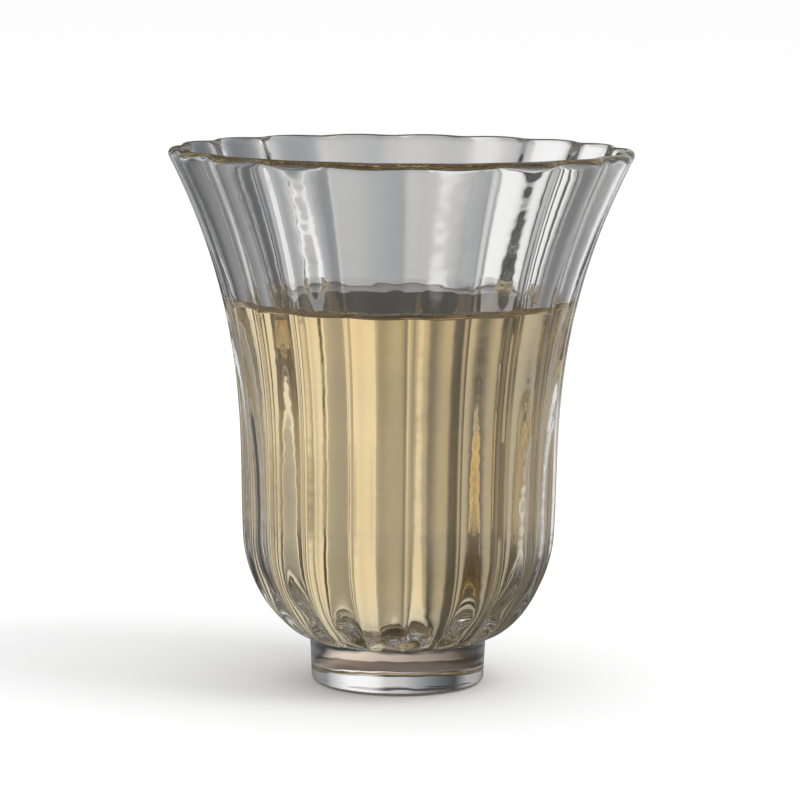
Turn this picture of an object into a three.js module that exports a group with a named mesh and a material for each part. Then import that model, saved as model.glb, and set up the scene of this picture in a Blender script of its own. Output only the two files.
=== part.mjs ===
// A footed glass teacup: a fluted tulip bowl, the solid foot fused under it, and the tea it holds.
// Millimetres, +Z up, the origin on the table under the middle of the foot.
import * as THREE from "three";

// Bowl. Radii are taken over the crowns of the flutes.
const HEIGHT = 86.5;
const RIM_RADIUS = 37.5;
const RIM_LEAN = 27; // degrees that the flare leans out where it meets the lip
const LIP_RADIUS = 1.05; // the lip is rounded over its whole thickness
const BELLY_RADIUS = 25.3;
const BELLY_HEIGHT = 23.5; // where the round bottom turns into the upright wall
const BELLY_LEAN = 3.5; // degrees that the wall leans out there
const NECK_LIFT = 15; // degrees that the round bottom climbs as it leaves the foot
const WALL = 3.4; // glass at the belly
const FLOOR = 3; // glass between the foot and the inside

// How far each curve of the bowl runs on along its end tangents before it turns.
const NECK_REACH = 6;
const BOTTOM_REACH = 7.4;
const WALL_REACH = 15;
const FLARE_REACH = 30;
const INSIDE_FLOOR_REACH = 11;
const INSIDE_CORNER_REACH = 10.5;
const INSIDE_WALL_REACH = 6;
const INSIDE_FLARE_REACH = 33;

// Flutes: round lobes outside and in, parted by narrow creases. A crown lies on +X.
const FLUTES = 18;
const CREASE_AT_RIM = 1.8; // depth of a crease below the crowns, in step with the radius further down
const INSIDE_CREASE = 0.75; // share of that depth that the creases have inside
const CREASE_RUNOUT = 4; // the creases start at nothing on the foot and are full this much further out

// Foot.
const FOOT_HEIGHT = 7;
const FOOT_RADIUS = 14.3; // at the top, under the bowl
const FOOT_TAPER = 0.3; // how much slimmer it is at the base
const FOOT_EDGE = 0.5; // rounding of the bottom edge
const FOOT_RING = 3.5; // width of the flat ring that the cup stands on
const FOOT_HOLLOW = 0.1; // the underside is dished inside that ring

// Tea.
const TEA_BELOW_LIP = 24; // from the top of the lip down to the surface
const TEA_CLEARANCE = 0.3; // to the glass
const MENISCUS_RISE = 1.2;
const MENISCUS_REACH = 2.4;

// Fineness of the facets.
const FACETS_PER_FLUTE = 8;
const BOTTOM_STEPS = 7;
const FLARE_STEPS = 9;
const LIP_STEP = 45; // degrees
const TEA_WALL_STEPS = 6;
const MENISCUS_STEPS = 3;
const FOOT_FACETS = 72;
const FOOT_EDGE_STEPS = 4;
const HOLLOW_STEPS = 4;
const HALVINGS = 40;

const { clamp, degToRad, lerp } = THREE.MathUtils;
const LIP_CENTRE = new THREE.Vector2(RIM_RADIUS - LIP_RADIUS, HEIGHT - LIP_RADIUS);
const TEA_LEVEL = HEIGHT - TEA_BELOW_LIP;

/** The direction that leans out from upright by an angle in degrees, in an outline's plane. */
function leaning(degrees) {
  const angle = degToRad(degrees);
  return new THREE.Vector2(Math.sin(angle), Math.cos(angle));
}

/** A curve between two points that leaves and arrives along the given directions. */
function bend(from, leaving, leaveReach, to, arriving, arriveReach) {
  const first = from.clone().addScaledVector(leaving, leaveReach);
  const second = to.clone().addScaledVector(arriving, -arriveReach);
  return new THREE.CubicBezierCurve(from, first, second, to);
}

/** The point of the lip at an angle in degrees, counted up from level and outward. */
function lipPoint(degrees) {
  return LIP_CENTRE.clone().addScaledVector(leaning(90 - degrees), LIP_RADIUS);
}

/** The bowl's outside, from the foot to the lip, in two curves. */
function outsideCurves() {
  const neck = new THREE.Vector2(FOOT_RADIUS, FOOT_HEIGHT);
  const belly = new THREE.Vector2(BELLY_RADIUS, BELLY_HEIGHT);
  const upright = leaning(BELLY_LEAN);
  const bottom = bend(neck, leaning(90 - NECK_LIFT), NECK_REACH, belly, upright, BOTTOM_REACH);
  const flare = bend(belly, upright, WALL_REACH, lipPoint(-RIM_LEAN), leaning(RIM_LEAN), FLARE_REACH);
  return [bottom, flare];
}

/** The bowl's inside, from the middle of its floor to the lip, in two curves. */
function insideCurves() {
  const middle = new THREE.Vector2(0, FOOT_HEIGHT + FLOOR);
  const belly = new THREE.Vector2(BELLY_RADIUS - WALL, BELLY_HEIGHT);
  const upright = leaning(BELLY_LEAN);
  const corner = bend(middle, leaning(90), INSIDE_FLOOR_REACH, belly, upright, INSIDE_CORNER_REACH);
  const lip = lipPoint(180 - RIM_LEAN);
  const flare = bend(belly, upright, INSIDE_WALL_REACH, lip, leaning(RIM_LEAN), INSIDE_FLARE_REACH);
  return [corner, flare];
}

/** Turns an outline round the axis and draws each point in at the creases by its share of their depth. */
function fluted(outline, shares) {
  const geometry = new THREE.LatheGeometry(outline, FLUTES * FACETS_PER_FLUTE);
  geometry.rotateX(Math.PI / 2);
  const position = geometry.getAttribute("position");
  for (let i = 0; i < position.count; i += 1) {
    const x = position.getX(i);
    const y = position.getY(i);
    const fromCrown = 1 - Math.abs(Math.cos((FLUTES * Math.atan2(y, x)) / 2));
    const depth = (shares[i % outline.length] * CREASE_AT_RIM) / RIM_RADIUS;
    const kept = 1 - depth * fromCrown;
    position.setXY(i, x * kept, y * kept);
  }
  geometry.computeVertexNormals();
  return geometry;
}

/** Points along a curve up to a share of its length, each held off the glass by a clearance. */
function clearOf(curve, clearance, steps, end = 1) {
  const points = [];
  for (let step = 0; step <= steps; step += 1) {
    const along = (end * step) / steps;
    const tangent = curve.getTangent(along);
    const inward = new THREE.Vector2(-tangent.y, tangent.x);
    points.push(curve.getPoint(along).addScaledVector(inward, clearance));
  }
  return points;
}

/** The share of a rising curve at which it reaches a height, found by halving. */
function shareAtHeight(curve, height) {
  let low = 0;
  let high = 1;
  for (let halving = 0; halving < HALVINGS; halving += 1) {
    const middle = (low + high) / 2;
    if (curve.getPoint(middle).y < height) {
      low = middle;
    } else {
      high = middle;
    }
  }
  return high;
}

/** The bowl: out along its seat on the foot, up the outside, over the lip and down the inside. */
function bowl() {
  const [bottom, flare] = outsideCurves();
  const [corner, insideFlare] = insideCurves();
  const outline = [new THREE.Vector2(0, FOOT_HEIGHT)];
  outline.push(...bottom.getPoints(BOTTOM_STEPS));
  outline.push(...flare.getPoints(FLARE_STEPS).slice(1));
  const shares = outline.map((point) => clamp((point.x - FOOT_RADIUS) / CREASE_RUNOUT, 0, 1));
  for (let degrees = 0; degrees < 180 - RIM_LEAN; degrees += LIP_STEP) {
    outline.push(lipPoint(degrees));
    shares.push(lerp(1, INSIDE_CREASE, (degrees + RIM_LEAN) / 180));
  }
  const inside = insideFlare.getPoints(FLARE_STEPS).reverse();
  inside.push(...corner.getPoints(BOTTOM_STEPS).reverse().slice(1));
  outline.push(...inside);
  shares.push(...inside.map(() => INSIDE_CREASE));
  return fluted(outline, shares);
}

/** The foot: a solid disc with a dished underside, a round bottom edge and a slight taper. */
function foot() {
  const baseRadius = FOOT_RADIUS - FOOT_TAPER;
  const flatRadius = baseRadius - FOOT_EDGE;
  const hollowRadius = flatRadius - FOOT_RING;
  const outline = [];
  for (let step = 0; step <= HOLLOW_STEPS; step += 1) {
    const out = step / HOLLOW_STEPS;
    outline.push(new THREE.Vector2(hollowRadius * out, FOOT_HOLLOW * (1 - out * out)));
  }
  for (let step = 0; step <= FOOT_EDGE_STEPS; step += 1) {
    const round = leaning(180 - (90 * step) / FOOT_EDGE_STEPS);
    outline.push(new THREE.Vector2(flatRadius + FOOT_EDGE * round.x, FOOT_EDGE * (1 + round.y)));
  }
  outline.push(new THREE.Vector2(FOOT_RADIUS, FOOT_HEIGHT));
  outline.push(new THREE.Vector2(0, FOOT_HEIGHT));
  const geometry = new THREE.LatheGeometry(outline, FOOT_FACETS);
  geometry.rotateX(Math.PI / 2);
  return geometry;
}

/** The tea: up along the inside of the glass, then in over the curled edge of its surface. */
function tea() {
  const [corner, flare] = insideCurves();
  const wetted = shareAtHeight(flare, TEA_LEVEL + MENISCUS_RISE);
  const outline = [new THREE.Vector2(0, FOOT_HEIGHT + FLOOR + TEA_CLEARANCE)];
  outline.push(...clearOf(corner, TEA_CLEARANCE, BOTTOM_STEPS).slice(1));
  outline.push(...clearOf(flare, TEA_CLEARANCE, TEA_WALL_STEPS, wetted).slice(1));
  const edge = outline[outline.length - 1];
  for (let step = 1; step <= MENISCUS_STEPS; step += 1) {
    const inwards = step / MENISCUS_STEPS;
    const height = TEA_LEVEL + (edge.y - TEA_LEVEL) * (1 - inwards) ** 2;
    outline.push(new THREE.Vector2(edge.x - MENISCUS_REACH * inwards, height));
  }
  outline.push(new THREE.Vector2(0, TEA_LEVEL));
  return fluted(outline, outline.map(() => INSIDE_CREASE));
}

/** Clear soda glass, faintly grey. */
function clearGlass() {
  const look = { color: 0xe4e6e8, roughness: 0.05, metalness: 0, transparent: true, opacity: 0.35 };
  return new THREE.MeshStandardMaterial(look);
}

/** Pale golden tea. */
function goldenTea() {
  return new THREE.MeshStandardMaterial({ color: 0xd8c283, roughness: 0.05, metalness: 0 });
}

/** A named piece of the cup, already in its place. */
function piece(name, geometry, material) {
  const mesh = new THREE.Mesh(geometry, material);
  mesh.name = name;
  return mesh;
}

const teacup = new THREE.Group();
teacup.add(piece("bowl", bowl(), clearGlass()));
teacup.add(piece("foot", foot(), clearGlass()));
teacup.add(piece("tea", tea(), goldenTea()));

export default teacup;
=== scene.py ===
"""Dresses a fluted glass teacup with tea in it, round the cup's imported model.

Lengths are metres in the model's own frame: +Z up, the origin on the table under the foot.
"""

from __future__ import annotations

import logging
import math
from dataclasses import dataclass
from itertools import pairwise
from typing import Union

import bmesh
import bpy
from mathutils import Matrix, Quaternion, Vector
from mathutils.kdtree import KDTree


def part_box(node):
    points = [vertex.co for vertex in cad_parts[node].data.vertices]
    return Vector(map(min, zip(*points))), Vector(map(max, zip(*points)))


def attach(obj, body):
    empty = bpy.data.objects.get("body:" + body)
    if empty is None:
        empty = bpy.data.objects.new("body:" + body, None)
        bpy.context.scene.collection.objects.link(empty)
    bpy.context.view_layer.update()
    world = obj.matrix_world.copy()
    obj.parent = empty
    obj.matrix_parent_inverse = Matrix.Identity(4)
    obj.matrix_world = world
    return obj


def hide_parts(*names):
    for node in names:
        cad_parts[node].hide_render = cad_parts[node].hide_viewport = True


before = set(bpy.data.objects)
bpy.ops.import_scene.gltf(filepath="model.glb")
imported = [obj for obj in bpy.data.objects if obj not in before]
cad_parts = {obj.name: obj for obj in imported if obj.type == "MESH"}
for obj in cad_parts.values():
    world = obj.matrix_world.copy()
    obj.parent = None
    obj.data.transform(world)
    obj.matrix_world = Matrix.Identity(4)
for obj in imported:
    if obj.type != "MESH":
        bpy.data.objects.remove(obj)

LOG = logging.getLogger("teacup")
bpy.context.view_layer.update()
FULL_TURN = 2 * math.pi
WELD = 1e-6  # points nearer than this are one point
SHARP = math.radians(40)  # edges that turn more than this aren't shaded round

Colour = tuple[float, float, float]
Lights = tuple[tuple[float, Colour], ...]  # degrees round from straight behind the cup, and the light there
Term = Union["Wire", float, tuple]


# Outlines

def leaning(angle: float) -> Vector:
    """The outline direction that leans out from upright by an angle in radians."""
    return Vector((math.sin(angle), math.cos(angle)))


@dataclass(frozen=True)
class Bend:
    """A curve of an outline, with the stretches that it runs along its end tangents."""

    start: Vector
    leaving: Vector
    end: Vector
    arriving: Vector

    def at(self, share: float) -> Vector:
        """Finds a point of the curve.

        Args:
            share: Place along the curve, from 0 to 1.

        Returns:
            The point, as radius and height.
        """
        rest = 1 - share
        first = self.start + self.leaving
        second = self.end - self.arriving
        return (rest**3 * self.start + 3 * rest**2 * share * first
                + 3 * rest * share**2 * second + share**3 * self.end)

    def points(self, steps: int) -> list[Vector]:
        """Lists points in even steps from one end of the curve to the other."""
        return [self.at(step / steps) for step in range(steps + 1)]


@dataclass(frozen=True)
class CupSizes:
    """The cup's driving sizes. Radii are taken over the crowns of the flutes."""

    height: float
    rim_radius: float
    foot_height: float
    foot_radius: float
    tea_edge: float
    rim_lean: float = math.radians(27)
    lip_radius: float = 0.00105
    belly_radius: float = 0.0253
    belly_height: float = 0.0235
    belly_lean: float = math.radians(3.5)
    neck_lift: float = math.radians(15)
    wall: float = 0.0034
    floor: float = 0.003
    neck_reach: float = 0.006
    bottom_reach: float = 0.0074
    wall_reach: float = 0.015
    flare_reach: float = 0.030
    inside_floor_reach: float = 0.011
    inside_corner_reach: float = 0.0105
    inside_wall_reach: float = 0.006
    inside_flare_reach: float = 0.033
    flutes: int = 18
    crease: float = 0.0018
    inside_share: float = 0.75
    runout: float = 0.004
    crease_softness: float = 0.25
    columns_per_flute: int = 20

    @classmethod
    def measured(cls) -> CupSizes:
        """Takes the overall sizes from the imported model."""
        bowl_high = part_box("bowl")[1]
        foot_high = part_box("foot")[1]
        tea_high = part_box("tea")[1]
        return cls(bowl_high.z, bowl_high.x, foot_high.z, foot_high.x, tea_high.z)

    @property
    def columns(self) -> int:
        """How many lines run up the wall, all round."""
        return self.flutes * self.columns_per_flute

    def lip_point(self, angle: float) -> Vector:
        """Finds a point of the rounded lip at an angle counted up from level and outward."""
        centre = Vector((self.rim_radius - self.lip_radius, self.height - self.lip_radius))
        return centre + self.lip_radius * leaning(math.pi / 2 - angle)

    def outside(self) -> tuple[Bend, Bend]:
        """Draws the bowl's outside.

        Returns:
            Its round bottom, then its wall and flare.
        """
        neck = Vector((self.foot_radius, self.foot_height))
        belly = Vector((self.belly_radius, self.belly_height))
        upright = leaning(self.belly_lean)
        climb = leaning(math.pi / 2 - self.neck_lift)
        lip = self.lip_point(-self.rim_lean)
        bottom = Bend(neck, climb * self.neck_reach, belly, upright * self.bottom_reach)
        flare = Bend(belly, upright * self.wall_reach, lip, leaning(self.rim_lean) * self.flare_reach)
        return bottom, flare

    def inside(self) -> tuple[Bend, Bend]:
        """Draws the bowl's inside.

        Returns:
            Its floor and corner, then its wall and flare.
        """
        middle = Vector((0, self.foot_height + self.floor))
        belly = Vector((self.belly_radius - self.wall, self.belly_height))
        upright = leaning(self.belly_lean)
        level = leaning(math.pi / 2)
        lip = self.lip_point(math.pi - self.rim_lean)
        corner = Bend(middle, level * self.inside_floor_reach, belly, upright * self.inside_corner_reach)
        flare = Bend(belly, upright * self.inside_wall_reach, lip,
                     leaning(self.rim_lean) * self.inside_flare_reach)
        return corner, flare

    def drawn_in(self, column: int) -> float:
        """Works out how far a line up the wall is drawn in towards the axis.

        Args:
            column: Lines counted from the nearest crown.

        Returns:
            The share of the crown's radius that is left.
        """
        wave = math.cos(math.pi * column / self.columns_per_flute)
        soft = self.crease_softness
        crown = math.hypot(1, soft)
        depth = (crown - math.hypot(wave, soft)) / (crown - soft)
        return 1 - depth * self.crease / self.rim_radius


# Shaders

class Wire:
    """A shader value that works in Python expressions: each operator adds a Math node."""

    def __init__(self, graph: Graph, socket: bpy.types.NodeSocket) -> None:
        """Wraps an output socket of a graph."""
        self.graph = graph
        self.socket = socket

    def _maths(self, operation: str, first: Term, second: Term) -> Wire:
        """Adds one Math node and returns its value."""
        return self.graph.node("ShaderNodeMath", {"operation": operation}, {0: first, 1: second})

    def __add__(self, other: Term) -> Wire:
        """Adds a value or a number."""
        return self._maths("ADD", self, other)

    def __radd__(self, other: Term) -> Wire:
        """Adds to a number."""
        return self._maths("ADD", other, self)

    def __sub__(self, other: Term) -> Wire:
        """Takes a value or a number away."""
        return self._maths("SUBTRACT", self, other)

    def __rsub__(self, other: Term) -> Wire:
        """Takes this value away from a number."""
        return self._maths("SUBTRACT", other, self)

    def __mul__(self, other: Term) -> Wire:
        """Multiplies by a value or a number."""
        return self._maths("MULTIPLY", self, other)

    def __rmul__(self, other: Term) -> Wire:
        """Multiplies a number by this value."""
        return self._maths("MULTIPLY", other, self)

    def root(self) -> Wire:
        """The square root of this value."""
        return self._maths("POWER", self, 0.5)

    def angle_from(self, ahead: Term) -> Wire:
        """The angle whose sides are this value and another, straight ahead."""
        return self._maths("ARCTAN2", self, ahead)


class Graph:
    """The node tree of a material or of the world, emptied to be filled again."""

    def __init__(self, tree: bpy.types.NodeTree) -> None:
        """Empties a node tree."""
        tree.nodes.clear()
        self.tree = tree

    def node(self, kind: str, settings: dict | None = None, inputs: dict | None = None,
             output: int | str = 0) -> Wire:
        """Adds a node.

        Args:
            kind: The node's type.
            settings: Its properties. The key stops holds a colour ramp's places and colours.
            inputs: Numbers, colours or wires by the socket's name or place.
            output: Which output to return.

        Returns:
            The node's output.
        """
        made = self.tree.nodes.new(kind)
        for key, value in (settings or {}).items():
            if key == "stops":
                self._fill_ramp(made.color_ramp, value)
            else:
                setattr(made, key, value)
        for key, value in (inputs or {}).items():
            socket = made.inputs[key]
            if isinstance(value, Wire):
                self.tree.links.new(value.socket, socket)
            else:
                socket.default_value = value
        return Wire(self, made.outputs[output] if made.outputs else None)

    @staticmethod
    def _fill_ramp(ramp: bpy.types.ColorRamp, stops: list[tuple[float, Colour]]) -> None:
        """Sets a colour ramp's stops.

        Args:
            ramp: The ramp, with two stops or more.
            stops: Places from 0 to 1 and their colours, in order.
        """
        while len(ramp.elements) < len(stops):
            ramp.elements.new(0.5)
        for element, (place, colour) in zip(ramp.elements, stops):
            element.position = place
            element.color = (*colour, 1)


@dataclass(frozen=True)
class ClearGlass:
    """Clear soda glass, faintly rippled by the mould."""

    index: float = 1.5
    tint: Colour = (0.997, 0.998, 0.997)
    cloud: Colour = (0.985, 0.985, 0.98)
    cloud_scale: float = 60
    cloud_detail: float = 2
    ripple_scale: float = 180
    ripple_detail: float = 1
    ripple_stretch: float = 2.2
    ripple_height: float = 0.00005
    ripple_strength: float = 0.8
    haze: float = 0.015

    def material(self) -> bpy.types.Material:
        """Makes the glass.

        Returns:
            A clear material with ripples in its surface and faint clouds in its tint and haze.
        """
        made = bpy.data.materials.new("clear_glass")
        made.use_nodes = True
        graph = Graph(made.node_tree)
        place = graph.node("ShaderNodeTexCoord", output="Object")
        drawn = graph.node("ShaderNodeMapping", inputs={0: place, 3: (1, 1, self.ripple_stretch)})
        ripples = graph.node("ShaderNodeTexNoise", inputs={
            0: drawn, "Scale": self.ripple_scale, "Detail": self.ripple_detail})
        clouds = graph.node("ShaderNodeTexNoise", inputs={
            0: place, "Scale": self.cloud_scale, "Detail": self.cloud_detail})
        colour = graph.node("ShaderNodeMix", {"data_type": "RGBA"},
                            {0: clouds, 6: (*self.tint, 1), 7: (*self.cloud, 1)}, output=2)
        bump = graph.node("ShaderNodeBump", inputs={
            "Strength": self.ripple_strength, "Distance": self.ripple_height, "Height": ripples})
        surface = graph.node("ShaderNodeBsdfPrincipled", inputs={
            "Base Color": colour, "Roughness": clouds * self.haze, "IOR": self.index,
            "Transmission Weight": 1.0, "Normal": bump})
        graph.node("ShaderNodeOutputMaterial", inputs={"Surface": surface})
        return made


@dataclass(frozen=True)
class FusedSeam:
    """Glass run into glass: the seam itself doesn't show."""

    def material(self) -> bpy.types.Material:
        """Makes the seam.

        Returns:
            A material that lets all light straight through.
        """
        made = bpy.data.materials.new("fused_seam")
        made.use_nodes = True
        graph = Graph(made.node_tree)
        surface = graph.node("ShaderNodeBsdfTransparent")
        graph.node("ShaderNodeOutputMaterial", inputs={"Surface": surface})
        return made


@dataclass(frozen=True)
class GoldenTea:
    """Pale golden tea, which colours the light by how far it goes through."""

    index: float = 1.333
    absorbed: Colour = (0.955, 0.733, 0.17)
    density: float = 24
    swirl_scale: float = 90
    swirl_detail: float = 1
    swirl_height: float = 0.00001
    swirl_strength: float = 0.1

    def material(self) -> bpy.types.Material:
        """Makes the tea.

        Returns:
            A clear liquid with a barely moving surface, coloured through its depth.
        """
        made = bpy.data.materials.new("golden_tea")
        made.use_nodes = True
        graph = Graph(made.node_tree)
        place = graph.node("ShaderNodeTexCoord", output="Object")
        swirls = graph.node("ShaderNodeTexNoise", inputs={
            0: place, "Scale": self.swirl_scale, "Detail": self.swirl_detail})
        bump = graph.node("ShaderNodeBump", inputs={
            "Strength": self.swirl_strength, "Distance": self.swirl_height, "Height": swirls})
        surface = graph.node("ShaderNodeBsdfPrincipled", inputs={
            "Base Color": (1, 1, 1, 1), "Roughness": 0.0, "IOR": self.index,
            "Transmission Weight": 1.0, "Normal": bump})
        volume = graph.node("ShaderNodeVolumeAbsorption", inputs={
            "Color": (*self.absorbed, 1), "Density": self.density})
        graph.node("ShaderNodeOutputMaterial", inputs={"Surface": surface, "Volume": volume})
        return made


# Pieces

@dataclass(frozen=True)
class TurnedPiece:
    """A piece made by spinning an outline round the cup's axis and drawing in its creases."""

    sizes: CupSizes
    name: str
    body: str
    node: str
    slot: str

    def spin(self, outline: list[Vector]) -> bpy.types.Object:
        """Draws an outline from its first point on and spins it once round the axis.

        Args:
            outline: Radius and height of each point, from the axis and back to it.

        Returns:
            The piece's object, left in edit mode.
        """
        bpy.ops.object.select_all(action="DESELECT")
        bpy.ops.mesh.primitive_plane_add()
        piece = bpy.context.object
        piece.name = self.name
        piece.data.name = self.name
        bpy.ops.object.mode_set(mode="EDIT")
        bpy.ops.mesh.merge(type="CENTER")
        bpy.ops.transform.translate(value=(outline[0].x, 0, outline[0].y))
        for here, there in pairwise(outline):
            step = there - here
            bpy.ops.mesh.extrude_vertices_move(TRANSFORM_OT_translate={"value": (step.x, 0, step.y)})
        bpy.ops.mesh.select_all(action="SELECT")
        bpy.ops.mesh.spin(steps=self.sizes.columns, angle=FULL_TURN, center=(0, 0, 0), axis=(0, 0, 1))
        bpy.ops.mesh.select_all(action="SELECT")
        bpy.ops.mesh.remove_doubles(threshold=WELD)
        bpy.ops.mesh.normals_make_consistent(inside=False)
        return piece

    def select(self, piece: bpy.types.Object, chosen: list[int]) -> None:
        """Selects some vertices, and nothing else.

        Args:
            piece: The piece, in edit mode.
            chosen: The vertices.
        """
        bpy.ops.mesh.select_all(action="DESELECT")
        mesh = bmesh.from_edit_mesh(piece.data)
        mesh.verts.ensure_lookup_table()
        for index in chosen:
            mesh.verts[index].select_set(True)
        mesh.select_flush_mode()
        bmesh.update_edit_mesh(piece.data)

    def lines_up(self, piece: bpy.types.Object, low: float = -1, high: float = 1) -> list[list[int]]:
        """Sorts vertices by the line up the wall that they are on.

        Args:
            piece: The piece, in edit mode.
            low: Height from which vertices count.
            high: Height up to which they count.

        Returns:
            The vertices at each number of lines from the nearest crown.
        """
        per_flute = self.sizes.columns_per_flute
        lines: list[list[int]] = [[] for _ in range(per_flute // 2 + 1)]
        for vertex in bmesh.from_edit_mesh(piece.data).verts:
            place = vertex.co
            if low <= place.z <= high and place.xy.length > WELD:
                around = math.atan2(place.y, place.x) / FULL_TURN * self.sizes.columns
                column = round(around) % per_flute
                lines[min(column, per_flute - column)].append(vertex.index)
        return lines

    def draw_in(self, piece: bpy.types.Object, lines: list[list[int]], share: float = 1) -> None:
        """Draws lines of the wall in towards the axis, the deepest in the creases.

        Args:
            piece: The piece, in edit mode.
            lines: Its vertices at each number of lines from a crown.
            share: How much of the full depth of a crease is drawn in.
        """
        for column, chosen in enumerate(lines):
            kept = 1 - share * (1 - self.sizes.drawn_in(column))
            self.select(piece, chosen)
            bpy.ops.transform.resize(value=(kept, kept, 1), center_override=(0, 0, 0))

    def mark_seam(self, piece: bpy.types.Object) -> None:
        """Keeps the shading of the wall apart from that of the seam between bowl and foot.

        Args:
            piece: The piece, in edit mode.
        """
        height = self.sizes.foot_height
        lines = self.lines_up(piece, height - WELD, height + WELD)
        self.select(piece, [index for line in lines for index in line])
        bpy.ops.mesh.mark_sharp()

    def shade(self, piece: bpy.types.Object) -> None:
        """Leaves edit mode and shades the piece round."""
        bpy.ops.object.mode_set(mode="OBJECT")
        bpy.ops.object.shade_smooth_by_angle(angle=SHARP, keep_sharp_edges=True)

    def dress(self, piece: bpy.types.Object, finish: bpy.types.Material,
              seam: bpy.types.Material | None = None) -> None:
        """Gives a piece its finish, and its level seam faces theirs.

        Args:
            piece: The piece to dress.
            finish: The material of its surface.
            seam: The material of the faces where the bowl and the foot are one.
        """
        piece.data.materials.append(finish)
        if seam is None:
            return
        piece.data.materials.append(seam)
        corners = piece.data.vertices
        for face in piece.data.polygons:
            if all(abs(corners[i].co.z - self.sizes.foot_height) < WELD for i in face.vertices):
                face.material_index = 1

    def seat(self, piece: bpy.types.Object) -> None:
        """Puts a piece on its body, in the place of its node, and reports it.

        Args:
            piece: The finished piece.
        """
        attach(piece, self.body)
        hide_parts(self.node)
        LOG.info("%s: %d faces on body %s", piece.name, len(piece.data.polygons), self.body)


@dataclass(frozen=True)
class Bowl(TurnedPiece):
    """The fluted bowl: its seat on the foot, the outside, the lip and the inside."""

    name: str = "glass_bowl"
    body: str = "cup"
    node: str = "bowl"
    slot: str = "clear_glass"
    bottom_steps: int = 36
    flare_steps: int = 48
    lip_steps: int = 14

    def outer(self) -> list[Vector]:
        """Lists the outline's points along the seat and up the outside.

        Returns:
            Radius and height of each point.
        """
        bottom, flare = self.sizes.outside()
        seat = [Vector((0, self.sizes.foot_height))]
        return seat + bottom.points(self.bottom_steps) + flare.points(self.flare_steps)[1:]

    def lip(self) -> list[Vector]:
        """Lists the outline's points over the lip, without its two ends."""
        turn = math.pi / self.lip_steps
        return [self.sizes.lip_point(turn * step - self.sizes.rim_lean) for step in range(1, self.lip_steps)]

    def inner(self) -> list[Vector]:
        """Lists the outline's points down the inside, to the middle of the floor."""
        corner, flare = self.sizes.inside()
        return flare.points(self.flare_steps)[::-1] + corner.points(self.bottom_steps)[-2::-1]

    def ease_creases(self, piece: bpy.types.Object, former: bpy.types.Object) -> None:
        """Lets the creases run out above the foot, and makes them shallower inside than outside.

        Args:
            piece: The bowl, out of edit mode.
            former: The same bowl before its creases were drawn in.
        """
        sizes = self.sizes
        eased = 1 - sizes.inside_share
        shares = [min(max(1 - (point.x - sizes.foot_radius) / sizes.runout, 0), 1) for point in self.outer()]
        shares += [eased * step / self.lip_steps for step in range(1, self.lip_steps)]
        shares += [eased] * len(self.inner())
        outline = KDTree(len(shares))
        for index, point in enumerate(self.outer() + self.lip() + self.inner()):
            outline.insert((point.x, 0, point.y), index)
        outline.balance()
        rows: list[list[int]] = [[] for _ in shares]
        for vertex in former.data.vertices:
            rows[outline.find((vertex.co.xy.length, 0, vertex.co.z))[1]].append(vertex.index)
        group = piece.vertex_groups.new(name="eased")
        for share, row in zip(shares, rows):
            group.add(row, share, "REPLACE")
        wrap = piece.modifiers.new("ease", "SHRINKWRAP")
        wrap.target = former
        wrap.vertex_group = group.name
        bpy.ops.object.modifier_apply(modifier=wrap.name)
        piece.vertex_groups.clear()

    def build(self) -> bpy.types.Object:
        """Makes the bowl's mesh.

        Returns:
            The bowl, still without a finish.
        """
        piece = self.spin(self.outer() + self.lip() + self.inner())
        bpy.ops.object.mode_set(mode="OBJECT")
        former = bpy.data.objects.new("former", piece.data.copy())
        bpy.context.scene.collection.objects.link(former)
        bpy.ops.object.mode_set(mode="EDIT")
        self.draw_in(piece, self.lines_up(piece))
        self.mark_seam(piece)
        bpy.ops.object.mode_set(mode="OBJECT")
        self.ease_creases(piece, former)
        bpy.data.objects.remove(former)
        self.shade(piece)
        return piece


@dataclass(frozen=True)
class Foot(TurnedPiece):
    """The solid foot: a dished underside, a round bottom edge and a slight taper."""

    name: str = "glass_foot"
    body: str = "cup"
    node: str = "foot"
    slot: str = "clear_glass"
    taper: float = 0.0003
    edge: float = 0.0005
    ring: float = 0.0035
    hollow: float = 0.0001
    hollow_steps: int = 10
    edge_steps: int = 8
    side_steps: int = 16

    def outline(self) -> list[Vector]:
        """Goes out along the underside, up the side and in over the seam.

        Returns:
            Radius and height of each point.
        """
        sizes = self.sizes
        base = sizes.foot_radius - self.taper
        flat = base - self.edge
        dish = flat - self.ring
        under = []
        for step in range(self.hollow_steps + 1):
            out = step / self.hollow_steps
            under.append(Vector((dish * out, self.hollow * (1 - out**2))))
        edge = []
        for step in range(self.edge_steps + 1):
            angle = math.pi / 2 * step / self.edge_steps
            edge.append(Vector((flat + self.edge * math.sin(angle), self.edge * (1 - math.cos(angle)))))
        top = Vector((sizes.foot_radius, sizes.foot_height))
        side = [edge[-1].lerp(top, step / self.side_steps) for step in range(1, self.side_steps + 1)]
        return under + edge + side + [Vector((0, sizes.foot_height))]

    def build(self) -> bpy.types.Object:
        """Makes the foot's mesh.

        Returns:
            The foot, still without a finish.
        """
        piece = self.spin(self.outline())
        self.mark_seam(piece)
        self.shade(piece)
        return piece


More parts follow.
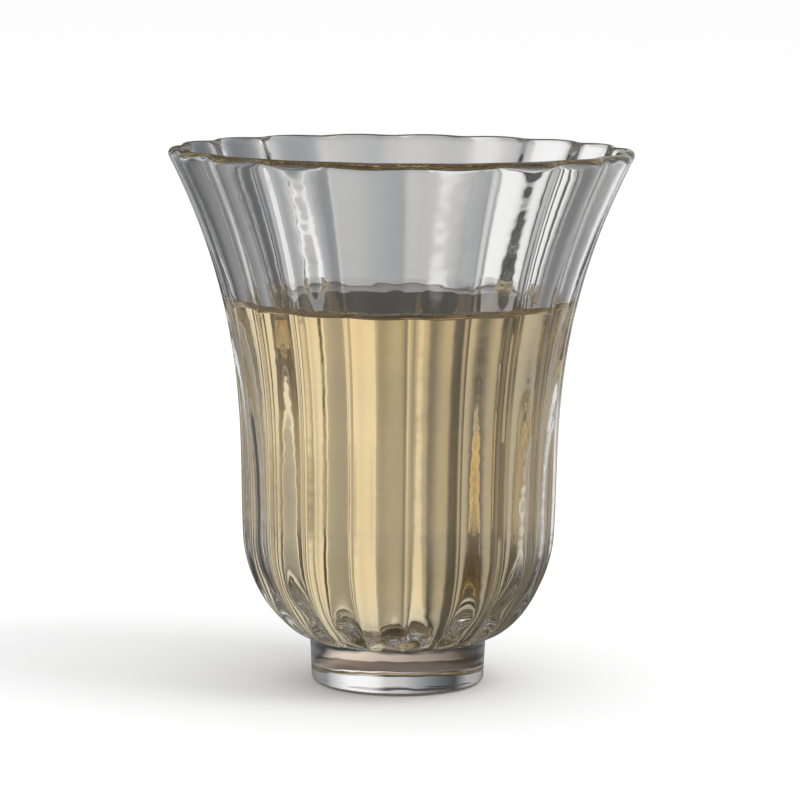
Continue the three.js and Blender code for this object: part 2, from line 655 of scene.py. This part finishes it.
@dataclass(frozen=True)
class Tea(TurnedPiece):
    """The tea: it wets the inside of the bowl and curls up at its edge."""

    name: str = "poured_tea"
    body: str = "tea"
    node: str = "tea"
    slot: str = "golden_tea"
    overlap: float = 0.00003
    meniscus_rise: float = 0.0012
    meniscus_reach: float = 0.0024
    meniscus_steps: int = 12
    surface_rings: int = 4

    def outline(self) -> list[Vector]:
        """Goes out along the floor, up the wall and in over the surface.

        Returns:
            Radius and height of each point.
        """
        sizes = self.sizes
        corner, flare = sizes.inside()
        wall = corner.points(Bowl.bottom_steps) + flare.points(Bowl.flare_steps)[1:]
        outline = [Vector((0, wall[0].y - self.overlap))]
        for before, here, after in zip(wall, wall[1:], wall[2:]):
            if here.y > sizes.tea_edge:
                break
            along = (after - before).normalized()
            outline.append(here + self.overlap * Vector((along.y, -along.x)))
        edge = outline[-1]
        level = edge.y - self.meniscus_rise
        for step in range(1, self.meniscus_steps + 1):
            inward = step / self.meniscus_steps
            height = level + self.meniscus_rise * (1 - inward)**2
            outline.append(Vector((edge.x - self.meniscus_reach * inward, height)))
        shore = outline[-1].x
        for ring in range(1, self.surface_rings + 1):
            outline.append(Vector((shore * (1 - ring / self.surface_rings), level)))
        return outline

    def build(self) -> bpy.types.Object:
        """Makes the tea's mesh.

        Returns:
            The tea, still without a finish.
        """
        piece = self.spin(self.outline())
        self.draw_in(piece, self.lines_up(piece), self.sizes.inside_share)
        self.shade(piece)
        return piece


# Studio

@dataclass(frozen=True)
class TentRing:
    """A level ring of the cloth tent, whose light changes with the direction from the cup.

    A direction of 0 is straight behind the cup, and 90 is the right-hand side.
    """

    radius: float
    height: float
    lights: Lights

    def stops(self) -> list[tuple[float, Colour]]:
        """Lists the ring's lights by their share of a full turn."""
        return [(towards / 360 + 0.5, light) for towards, light in self.lights]


@dataclass(frozen=True)
class TentCloth:
    """The cloth from one ring of the tent to the next, where one's light fades into the other's."""

    name: str
    first: TentRing
    second: TentRing
    steps: int = 72

    def hang(self) -> None:
        """Makes the cloth by spinning its width once round the cup."""
        width = (self.second.radius - self.first.radius, 0, self.second.height - self.first.height)
        bpy.ops.object.select_all(action="DESELECT")
        bpy.ops.mesh.primitive_plane_add()
        cloth = bpy.context.object
        cloth.name = self.name
        bpy.ops.object.mode_set(mode="EDIT")
        bpy.ops.mesh.merge(type="CENTER")
        bpy.ops.transform.translate(value=(self.first.radius, 0, self.first.height))
        bpy.ops.mesh.extrude_vertices_move(TRANSFORM_OT_translate={"value": width})
        bpy.ops.mesh.select_all(action="SELECT")
        bpy.ops.mesh.spin(steps=self.steps, angle=FULL_TURN, center=(0, 0, 0), axis=(0, 0, 1))
        bpy.ops.mesh.select_all(action="SELECT")
        bpy.ops.mesh.remove_doubles(threshold=WELD)
        bpy.ops.object.mode_set(mode="OBJECT")
        cloth.data.materials.append(self.weave())
        cloth.visible_camera = False
        cloth.visible_diffuse = False
        cloth.visible_shadow = False

    def weave(self) -> bpy.types.Material:
        """Makes the lit cloth.

        Returns:
            A glow that is graded round the cup and from ring to ring.
        """
        made = bpy.data.materials.new(self.name)
        made.use_nodes = True
        graph = Graph(made.node_tree)
        place = graph.node("ShaderNodeTexCoord", output="Object")
        across, ahead, up = (graph.node("ShaderNodeSeparateXYZ", inputs={0: place}, output=axis)
                             for axis in "XYZ")
        turned = across.angle_from(ahead) * (1 / FULL_TURN) + 0.5
        lights = [graph.node("ShaderNodeValToRGB", {"stops": ring.stops()}, {0: turned})
                  for ring in (self.first, self.second)]
        out = self.second.radius - self.first.radius
        rise = self.second.height - self.first.height
        width = out * out + rise * rise
        radius = (across * across + ahead * ahead).root()
        share = (radius - self.first.radius) * (out / width) + (up - self.first.height) * (rise / width)
        light = graph.node("ShaderNodeMix", {"data_type": "RGBA"},
                           {0: share, 6: lights[0], 7: lights[1]}, output=2)
        glow = graph.node("ShaderNodeEmission", inputs={"Color": light})
        graph.node("ShaderNodeOutputMaterial", inputs={"Surface": glow})
        return made


def grey(level: float) -> Colour:
    """A neutral colour."""
    return (level, level, level)


@dataclass(frozen=True)
class Tent:
    """The cloth tent round the cup: a dark table, a wall graded from left to right, and a roof.

    It stands for the room that the photographed glass shows. Only the glass and the tea show it.
    Its darkest rings, under and close round the foot, are painted shade.
    """

    radius: float = 0.35
    height: float = 0.45
    table_drop: float = 0.0002
    under_edge: float = 0.016
    shade_start: float = 0.018
    shade_end: float = 0.0275
    sheen_start: float = 0.0285
    sheen_end: float = 0.036
    near_start: float = 0.039
    ground_start: float = 0.1
    outer_start: float = 0.14
    outer_end: float = 0.2
    wall_top: float = 0.084
    head_start: float = 0.088
    head_end: float = 0.13
    high_start: float = 0.15
    # dark: painted shade under the foot and at the ends of the rings close round it
    dark: Colour = grey(0.02)
    around: Colour = grey(0.14)

    def behind(self, middle: Colour, beside: Colour, right: Lights) -> Lights:
        """Grades what stands behind the cup, from dark on the left to bright on the right.

        Args:
            middle: The light straight behind the cup.
            beside: The light a little to the right of it.
            right: The lights further to the right.

        Returns:
            The lights from left to right.
        """
        left = ((-26, grey(0.06)), (-17, (0.125, 0.13, 0.14)), (-10, (0.235, 0.24, 0.25)),
                (-4, (0.395, 0.4, 0.41)))
        return (*left, (0, middle), (8, beside), *right)

    def wall(self, middle: Colour, beside: Colour) -> Lights:
        """Grades a ring of the wall.

        Args:
            middle: The light straight behind the cup.
            beside: The light a little to the right of it.

        Returns:
            The lights all round.
        """
        right = ((11, grey(0.9)), (16, grey(1)), (26, grey(1)), (43, grey(0.4)))
        left_flank = ((-180, grey(0.75)), (-155, grey(0.75)), (-150, grey(0.4)), (-108, grey(0.4)),
                      (-104, grey(0.55)), (-78, grey(0.55)), (-70, grey(0.5)), (-38, grey(0.45)))
        right_flank = ((46, grey(0.3)), (74, grey(0.3)), (78, grey(0.5)), (104, grey(0.5)),
                       (108, grey(0.25)), (150, grey(0.25)), (155, grey(0.75)), (180, grey(0.75)))
        return (*left_flank, *self.behind(middle, beside, right), *right_flank)

    def floor(self, front: Colour, beside: Colour, right: Lights) -> Lights:
        """Grades a ring of the open floor.

        Args:
            front: The light in front of the cup.
            beside: The light behind the cup, a little to the right of the middle.
            right: The lights further to the right.

        Returns:
            The lights all round.
        """
        left_side = ((-150, grey(0.5)), (-120, grey(0.5)), (-90, grey(0.45)), (-75, grey(0.35)),
                     (-60, grey(0.25)))
        right_side = ((60, grey(0.2)), (75, grey(0.2)), (90, grey(0.35)), (120, grey(0.45)),
                      (150, grey(0.45)))
        back = self.behind(grey(0.46), beside, right)
        return ((-180, front), *left_side, *back, *right_side, (180, front))

    def table_rings(self) -> list[TentRing]:
        """Lays the rings close round the foot, which the foot and the lip show.

        Under and right round the foot they are painted shade.

        Returns:
            The rings, from under the foot outwards.
        """
        dark = self.dark
        around = self.around
        # under: painted shadow of the foot, dark all round
        under = ((-180, dark), (180, dark))
        shade = ((-180, around), (-45, around), (-25, dark), (-8, (0.06, 0.037, 0.021)),
                 (3, (0.146, 0.11, 0.085)), (12, (0.33, 0.26, 0.21)), (25, dark), (45, around),
                 (180, around))
        sheen = ((-180, around), (-50, around), (-30, dark), (-14, (0.07, 0.05, 0.03)),
                 (0, (0.4, 0.33, 0.27)), (10, (0.77, 0.65, 0.54)), (16, (0.77, 0.65, 0.54)), (30, dark),
                 (50, around), (180, around))
        # near: painted shade round the foot, darker behind the cup than at the sides
        near = ((-180, grey(0.1)), (-60, grey(0.1)), (-40, grey(0.03)), (40, grey(0.03)), (60, grey(0.1)),
                (180, grey(0.1)))
        placed = ((0, under), (self.under_edge, under), (self.shade_start, shade), (self.shade_end, shade),
                  (self.sheen_start, sheen), (self.sheen_end, sheen), (self.near_start, near))
        return [TentRing(radius, -self.table_drop, lights) for radius, lights in placed]

    def floor_rings(self) -> list[TentRing]:
        """Lays the rings further out, which the tea shows.

        Returns:
            The rings, outwards to the foot of the wall.
        """
        ground = ((-180, grey(0.25)), (-120, grey(0.3)), (-60, grey(0.3)), (-30, grey(0.06)),
                  (20, grey(0.05)), (28, grey(0.2)), (43, grey(0.2)), (60, grey(0.3)), (120, grey(0.3)),
                  (180, grey(0.25)))
        outer_right = ((11, grey(0.85)), (16, grey(0.9)), (26, grey(0.4)), (43, grey(0.4)))
        outer = self.floor(grey(0.45), grey(0.5), outer_right)
        far_right = ((11, grey(0.9)), (16, grey(1)), (26, grey(1)), (43, grey(0.4)))
        far = self.floor(grey(0.7), (0.56, 0.55, 0.53), far_right)
        placed = ((self.ground_start, ground), (self.outer_start, outer), (self.outer_end, outer),
                  (self.radius, far))
        return [TentRing(radius, -self.table_drop, lights) for radius, lights in placed]

    def wall_rings(self) -> list[TentRing]:
        """Hangs the rings of the wall and the roof, which the empty part of the bowl shows.

        Returns:
            The rings, upwards from the floor to the middle of the roof.
        """
        wall = self.wall(grey(0.46), (0.56, 0.55, 0.53))
        pale_wall = self.wall(grey(0.57), (0.7, 0.68, 0.66))
        head = ((-180, grey(0.12)), (-60, grey(0.12)), (-20, grey(0.03)), (-6, grey(0.08)), (8, grey(0.08)),
                (14, grey(0.6)), (42, grey(0.5)), (46, grey(0.06)), (70, grey(0.12)), (180, grey(0.12)))
        high = ((-180, grey(0.1)), (-100, grey(0.05)), (-60, grey(0.1)), (-20, grey(0.05)), (10, grey(0.05)),
                (16, grey(0.6)), (43, grey(0.5)), (70, grey(0.1)), (110, grey(0.05)), (180, grey(0.1)))
        roof = ((-180, grey(0.6)), (180, grey(0.6)))
        hung = ((0, wall), (self.wall_top, pale_wall), (self.head_start, head), (self.head_end, head),
                (self.high_start, high), (self.height, high))
        rings = [TentRing(self.radius, height, lights) for height, lights in hung]
        return [*rings, TentRing(0, self.height, roof)]

    def cloths(self) -> list[TentCloth]:
        """Joins the rings, from under the foot out to the wall and up to the roof.

        Returns:
            The cloths between the rings, in order.
        """
        rings = self.table_rings() + self.floor_rings() + self.wall_rings()
        return [TentCloth(f"tent_cloth_{number}", *pair) for number, pair in enumerate(pairwise(rings), 1)]


@dataclass(frozen=True)
class Studio:
    """A white floor and backdrop, one soft lamp, the tent and the camera."""

    camera_azimuth: float = math.radians(-2.9)
    camera_distance: float = 0.6
    camera_height: float = 0.1255
    camera_pitch: float = math.radians(7.579)
    camera_roll: float = math.radians(0.536)
    lens: float = 168.26
    floor_size: float = 12
    floor_grey: float = 0.98
    floor_drop: float = 0.0004
    ambient: float = 1
    bounces: int = 32
    lamp_width: float = 0.5
    lamp_height: float = 0.9
    lamp_power: float = 4
    lamp_place: tuple[float, float, float] = (0.7, -0.3, 0.9)
    lamp_target: tuple[float, float, float] = (0, 0, 0.05)

    def build(self) -> None:
        """Sets up the whole studio."""
        self.lay_floor()
        self.light_world()
        self.hang_lamp()
        for cloth in Tent().cloths():
            cloth.hang()
        self.place_camera()
        scene = bpy.context.scene
        scene.view_settings.view_transform = "Standard"
        scene.cycles.max_bounces = self.bounces
        scene.cycles.transmission_bounces = self.bounces
        scene.cycles.glossy_bounces = self.bounces
        scene.cycles.transparent_max_bounces = self.bounces

    def lay_floor(self) -> None:
        """Lays a plain pale floor just under the foot."""
        bpy.ops.object.select_all(action="DESELECT")
        bpy.ops.mesh.primitive_plane_add(size=self.floor_size, location=(0, 0, -self.floor_drop))
        floor = bpy.context.object
        floor.name = "floor"
        paint = bpy.data.materials.new("floor")
        paint.use_nodes = True
        graph = Graph(paint.node_tree)
        surface = graph.node("ShaderNodeBsdfDiffuse", inputs={
            "Color": (self.floor_grey, self.floor_grey, self.floor_grey, 1)})
        graph.node("ShaderNodeOutputMaterial", inputs={"Surface": surface})
        floor.data.materials.append(paint)

    def light_world(self) -> None:
        """Makes a plain white backdrop, which lights the floor evenly."""
        world = bpy.data.worlds.new("studio")
        bpy.context.scene.world = world
        world.use_nodes = True
        graph = Graph(world.node_tree)
        light = graph.node("ShaderNodeBackground", inputs={"Color": (1, 1, 1, 1), "Strength": self.ambient})
        graph.node("ShaderNodeOutputWorld", inputs={"Surface": light})

    def hang_lamp(self) -> None:
        """Hangs one soft lamp over the right shoulder of the cup."""
        lamp = bpy.data.lights.new("soft_lamp", "AREA")
        lamp.shape = "RECTANGLE"
        lamp.size = self.lamp_width
        lamp.size_y = self.lamp_height
        lamp.energy = self.lamp_power
        holder = bpy.data.objects.new("soft_lamp", lamp)
        bpy.context.scene.collection.objects.link(holder)
        holder.location = self.lamp_place
        aim = Vector(self.lamp_target) - holder.location
        holder.rotation_mode = "QUATERNION"
        holder.rotation_quaternion = aim.to_track_quat("-Z", "Y")
        holder.visible_camera = False

    def place_camera(self) -> None:
        """Stands the camera where the photograph was taken from."""
        lens = bpy.data.cameras.new("camera")
        lens.lens = self.lens
        camera = bpy.data.objects.new("camera", lens)
        bpy.context.scene.collection.objects.link(camera)
        turn = Quaternion((0, 0, 1), self.camera_azimuth)
        camera.location = turn @ Vector((0, -self.camera_distance, self.camera_height))
        ahead = turn @ Vector((0, math.cos(self.camera_pitch), -math.sin(self.camera_pitch)))
        camera.rotation_mode = "QUATERNION"
        upright = ahead.to_track_quat("-Z", "Y")
        camera.rotation_quaternion = upright @ Quaternion((0, 0, 1), self.camera_roll)
        lens.clip_end = 2 * self.floor_size
        bpy.context.scene.camera = camera


def main() -> None:
    """Builds the cup, piece by piece, and the studio round it."""
    logging.basicConfig(level=logging.INFO)
    sizes = CupSizes.measured()
    glass = ClearGlass().material()
    seam = FusedSeam().material()
    for part in (Bowl(sizes), Foot(sizes)):
        piece = part.build()
        part.dress(piece, glass, seam)
        part.seat(piece)
    tea = Tea(sizes)
    poured = tea.build()
    tea.dress(poured, GoldenTea().material())
    tea.seat(poured)
    Studio().build()


if __name__ == "__main__":
    main()
